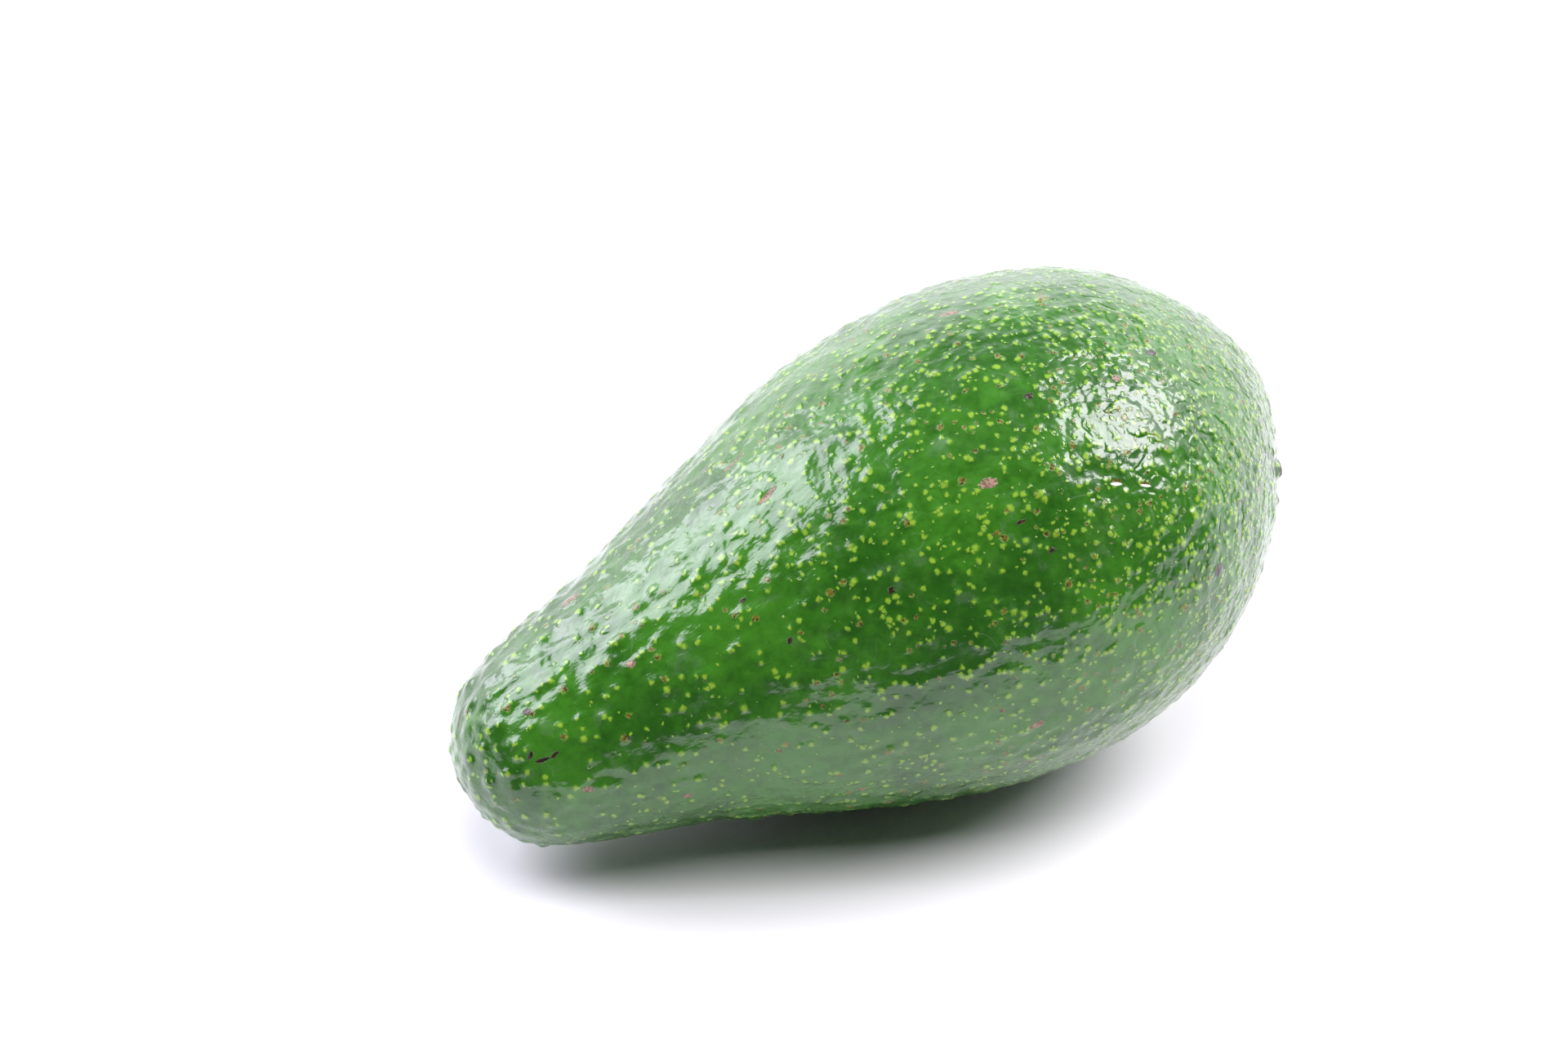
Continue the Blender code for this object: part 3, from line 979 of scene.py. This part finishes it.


# %% [markdown]
# ## The marks' finish
# Scars and nubs are dry cork on the glossy wax. The mesh says where they are, and a fine grit
# makes their edges ragged and their colour uneven. A cut has a dark torn edge and below it a
# lifted lip of skin that stands up a little; the lip's white is a painted highlight.

# %% Scars, nubs and cuts
SCAR_PINK = (0.370, 0.240, 0.165, 1.0)
SCAR_BROWN = (0.120, 0.066, 0.034, 1.0)
SCAR_UMBER = (0.040, 0.021, 0.005, 1.0)
SCAR_DARK = (0.008, 0.004, 0.001, 1.0)
NUB_OLIVE = (0.110, 0.110, 0.055, 1.0)
NUB_BROWN = (0.050, 0.042, 0.024, 1.0)
# Painted highlight: the white of a cut's lifted lip stands in for a lamp's glint on it.
CUT_PAINTED_HIGHLIGHT = (0.800, 0.780, 0.720, 1.0)
MARKS = (("Red", SCAR_PINK, SCAR_BROWN, 0.40), ("Green", SCAR_UMBER, SCAR_DARK, 0.08),
         ("Blue", NUB_OLIVE, NUB_BROWN, 0.40))
SCAR_HEIGHT = 8.0
FLAP_HEIGHT = 6.0
CUT_REACH = 4.0


def add_marks(g, finish, grit):
    """Patches where the mesh's marks and a share of the grit together pass a level."""
    color, height, rough = finish
    marks = g.add("ShaderNodeSeparateColor")
    g.put(marks.inputs[0], g.attribute("marks", "Color"))
    for output, light, dark, dullness in MARKS:
        patch = g.ramp(g.plus(marks.outputs[output], g.times(grit, 0.8)), 0.92, 1.08)
        color = g.mix(patch, color, g.mix(g.ramp(grit, 0.40, 0.62), dark, light))
        height = g.plus(height, g.times(patch, g.times(grit, SCAR_HEIGHT)))
        rough = g.plus(rough, g.times(patch, dullness))
    return color, height, rough


def cut_reach(g, rest, cut, lift):
    """Reach from a cut's middle, 1 at its edge, for a lens lifted up by some of its widths."""
    pixel_x, pixel_y, length, width = cut
    spot, along, normal = pixel_spot(pixel_x, pixel_y, 0)
    side = np.cross(normal, along)
    centre = spot - np.array(shift) + side * lift * width / 1000.0
    offset = g.vector("SUBTRACT", rest, tuple(centre))
    parts = g.add("ShaderNodeCombineXYZ")
    for socket, way, size in zip(parts.inputs, (along, side, normal), (length, width, CUT_REACH)):
        scaled = tuple(way * 2000.0 / size)
        g.put(socket, g.vector("DOT_PRODUCT", offset, scaled, output=1))
    return g.vector("LENGTH", parts.outputs[0], output=1)


def add_cuts(g, finish, rest, grit):
    """Each cut's dark torn edge, and over that its lifted lip, which stands up and has a painted
    highlight.
    """
    color, height, rough = finish
    for cut in CUTS:
        shade = g.ramp(g.plus(cut_reach(g, rest, cut, 0.9), g.times(grit, 2.0)), 2.3, 1.6)
        color = g.mix(shade, color, g.mix(g.ramp(grit, 0.40, 0.60), CORK_DARK, CORK_ORANGE))
        # The lifted lip stands up in the bump, and its white is a painted highlight.
        lip_and_highlight = g.ramp(g.plus(cut_reach(g, rest, cut, 0.0), g.times(grit, 0.8)), 1.5, 1.15)
        color = g.mix(lip_and_highlight, color, CUT_PAINTED_HIGHLIGHT)
        height = g.plus(height, g.times(lip_and_highlight, FLAP_HEIGHT))
    return color, height, rough


# %% [markdown]
# ## The skin's finish
# Green, relief, specks and marks come together here. A coat gives the wax its sharp reflection
# over the softer one of the skin under it.

# %% Skin material
SPECK_WOBBLE = 0.0008
CROWDING = 0.7
CORK_CROWDING = 0.35
WAX_IOR = 1.5
WAX_ROUGHNESS = 0.20
FINE_ROUGHNESS = 0.06
FADED_ROUGHNESS = 0.10
COAT_WEIGHT = 0.55
COAT_ROUGHNESS = 0.07


def skin_material():
    """Green ground, three layers of specks, scars and cuts, under one waxy coat."""
    g = Graph("skin")
    rest = g.attribute("rest", "Vector")
    lie = g.attribute("lie", "Vector")
    along = g.attribute("along")
    wobble = g.vector("SUBTRACT", g.noise(0.0007, 2.0, color=True, where=rest), (0.5, 0.5, 0.5))
    ragged = g.vector("ADD", rest, g.vector("MULTIPLY", wobble, (SPECK_WOBBLE,) * 3))
    fine = g.noise(0.0019, 3.0, 0.6)
    grit = g.noise(0.00042, 4.0, 0.7)
    crowd = g.times(g.from_middle(g.noise(0.0065, 1.0)), CROWDING)
    patchy = g.times(g.from_middle(g.noise(0.0080, 1.0)), CORK_CROWDING)
    faded = faded_wax(g)
    rough = g.plus(g.times(fine, FINE_ROUGHNESS), g.times(faded, FADED_ROUGHNESS))
    finish = (green_ground(g, fine, faded), wax_relief(g, rest, along), rough)
    for layer in LAYERS:
        finish = add_specks(g, layer, finish, (ragged, lie, along), (grit, crowd, patchy))
    finish = add_marks(g, finish, grit)
    color, height, rough = add_cuts(g, finish, rest, grit)
    normal = g.bump(height, HEIGHT_UNIT)
    g.put(g.shader.inputs["Base Color"], color)
    g.put(g.shader.inputs["Roughness"], g.math("ADD", rough, WAX_ROUGHNESS, clamp=True))
    g.put(g.shader.inputs["Normal"], normal)
    g.shader.inputs["IOR"].default_value = WAX_IOR
    g.shader.inputs["Coat Weight"].default_value = COAT_WEIGHT
    g.shader.inputs["Coat Roughness"].default_value = COAT_ROUGHNESS
    g.shader.inputs["Coat IOR"].default_value = WAX_IOR
    g.put(g.shader.inputs["Coat Normal"], normal)
    return g.material


skin.data.materials.append(skin_material())

# %% [markdown]
# ## The button's finish
# Dry wood has no shine. Its colour is streaked by noise, from a pale grey-brown through brown
# to nearly black.

# %% Wood material
BARK_PALE = (0.200, 0.142, 0.084, 1.0)
BARK_BROWN = (0.080, 0.048, 0.026, 1.0)
BARK_DARK = (0.024, 0.014, 0.009, 1.0)
WOOD_CELL = 0.0009
WOOD_RELIEF = 0.00012


def wood_material():
    """Streaked dry wood with cracks and a fine grain."""
    g = Graph("stem_wood")
    broad = g.noise(0.0016, 4.0, 0.6)
    fine = g.noise(0.00028, 4.0, 0.7)
    seed, draws = g.voronoi(WOOD_CELL, g.where)
    distance = g.vector("LENGTH", g.vector("SUBTRACT", g.where, seed), output=1)
    tone = g.plus(g.times(broad, 0.6), g.times(fine, 0.4))
    color = g.mix(g.ramp(tone, 0.36, 0.62), BARK_BROWN, BARK_PALE)
    color = g.mix(g.ramp(tone, 0.50, 0.38), color, BARK_DARK)
    height = g.plus(g.times(fine, 0.7), g.times(distance, 500.0))
    g.put(g.shader.inputs["Base Color"], color)
    g.put(g.shader.inputs["Roughness"], g.plus(0.70, g.times(fine, 0.25)))
    g.put(g.shader.inputs["Normal"], g.bump(height, WOOD_RELIEF))
    return g.material


button.data.materials.append(wood_material())

# %% [markdown]
# ## Floor, lamps and surroundings
# The photograph is taken on a white surface, with a large rectangular softbox on the left and a
# round lamp on the right. Both show in the skin. A weak fill from above the camera lightens the
# shadow in front, and it doesn't show. The surroundings are white behind the fruit and
# dark on the camera's side. The floor's far part is hidden from reflections, so that the skin
# mirrors a white tabletop of limited size, as in the photograph, while every view still stands
# on one pale floor.

# %% Floor
TABLE_FRONT = 0.140
TABLE_BACK = 1.60
TABLE_SIDE = 0.90
FLOOR_SIZE = 8.0
FLOOR_WHITE = (0.83, 0.82, 0.84, 1.0)
FLOOR_SHADE = (0.81, 0.81, 0.83, 1.0)
GROUND_LEVEL = -0.0001


def floor_material():
    """Matt white with a very faint unevenness."""
    g = Graph("floor")
    faint = g.noise(0.02, 2.0)
    color = g.mix(faint, FLOOR_WHITE, FLOOR_SHADE)
    g.put(g.shader.inputs["Base Color"], color)
    g.shader.inputs["Roughness"].default_value = 0.6
    g.shader.inputs["Specular IOR Level"].default_value = 0.25
    return g.material


def make_floor(name, corners, level, material):
    """A flat four-cornered floor at a level."""
    mesh = bpy.data.meshes.new(name)
    points = [from_view(right, away, 0.0) + Vector((0.0, 0.0, level)) for right, away in corners]
    mesh.from_pydata(points, [], [(0, 1, 2, 3)])
    mesh.materials.append(material)
    obj = bpy.data.objects.new(name, mesh)
    bpy.context.scene.collection.objects.link(obj)
    return obj


white = floor_material()
table = make_floor("table", ((-TABLE_SIDE, -TABLE_FRONT), (TABLE_SIDE, -TABLE_FRONT),
                             (TABLE_SIDE, TABLE_BACK), (-TABLE_SIDE, TABLE_BACK)), 0.0, white)
half = FLOOR_SIZE / 2.0
ground = make_floor("ground", ((-half, -half), (half, -half), (half, half), (-half, half)),
                    GROUND_LEVEL, white)
ground.visible_glossy = False

# %% Lamps: the way is given as right, away from the camera and up, and sizes are in metres
FRUIT_MIDDLE = Vector((0.0, 0.0, 0.033))
LAMPS = {
    "softbox": dict(way=(-0.77, 0.16, 0.62), distance=0.60, size=(0.46, 0.42), watts=4.2,
                    shape="RECTANGLE", color=(0.89, 0.86, 1.0)),
    "round_lamp": dict(way=(0.66, 0.08, 0.73), distance=0.80, size=(0.50, 0.50), watts=7.2,
                       shape="DISK", color=(0.98, 0.93, 1.0)),
    "fill": dict(way=(0.0, -0.29, 0.96), distance=1.20, size=(0.60, 0.60), watts=7.8,
                 shape="SQUARE", color=(1.0, 1.0, 1.0)),
}


def make_lamp(name, way, distance, size, watts, shape, color):
    """An area lamp in a direction from the fruit, turned to face it."""
    lamp = bpy.data.lights.new(name, "AREA")
    lamp.shape = shape
    lamp.size, lamp.size_y = size
    lamp.energy = watts
    lamp.color = color
    obj = bpy.data.objects.new(name, lamp)
    bpy.context.scene.collection.objects.link(obj)
    outwards = from_view(*way).normalized()
    obj.location = FRUIT_MIDDLE + outwards * distance
    obj.rotation_euler = (-outwards).to_track_quat("-Z", "Y").to_euler()
    return obj


lamps = {name: make_lamp(name, **facts) for name, facts in LAMPS.items()}
lamps["fill"].visible_glossy = False
print("lamps:", ", ".join(lamps))

# %% Surroundings: each step is given as where it starts and ends, and its strengths there
WORLD_WHITE = (0.95, 0.92, 1.0, 1.0)
BACK_STEP = (-0.05, 0.50, 0.04, 2.1)
UP_STEP = (0.48, 0.80, 1.0, 0.15)


def make_world():
    """White behind the fruit and low down, dark above and on the camera's side."""
    world = bpy.data.worlds.new("surroundings")
    world.use_nodes = True
    bpy.context.scene.world = world
    nodes = world.node_tree.nodes
    links = world.node_tree.links
    where = nodes.new("ShaderNodeTexCoord").outputs["Generated"]
    behind = nodes.new("ShaderNodeVectorMath")
    behind.operation = "DOT_PRODUCT"
    links.new(where, behind.inputs[0])
    behind.inputs[1].default_value = from_view(0.0, 1.0, 0.0)
    parts = nodes.new("ShaderNodeSeparateXYZ")
    links.new(where, parts.inputs[0])
    both = nodes.new("ShaderNodeMath")
    both.operation = "MULTIPLY"
    heights = (behind.outputs["Value"], parts.outputs["Z"])
    for height, limits, target in zip(heights, (BACK_STEP, UP_STEP), both.inputs):
        step = nodes.new("ShaderNodeMapRange")
        step.interpolation_type = "SMOOTHSTEP"
        links.new(height, step.inputs[0])
        for socket, value in zip(step.inputs[1:5], limits):
            socket.default_value = value
        links.new(step.outputs[0], target)
    background = nodes["Background"]
    background.inputs["Color"].default_value = WORLD_WHITE
    links.new(both.outputs[0], background.inputs["Strength"])


make_world()
bpy.context.scene.view_settings.view_transform = "Standard"

# %% [markdown]
# ## The new pieces in place
# Each new piece rides on the imported model's only body, and the imported piece that it stands
# for is hidden.

# %% Ride and hide the imported pieces
for piece, node, slot in ((skin, "fruit", "skin"), (button, "stem_button", "stem")):
    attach(piece, "root")
    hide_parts(node)
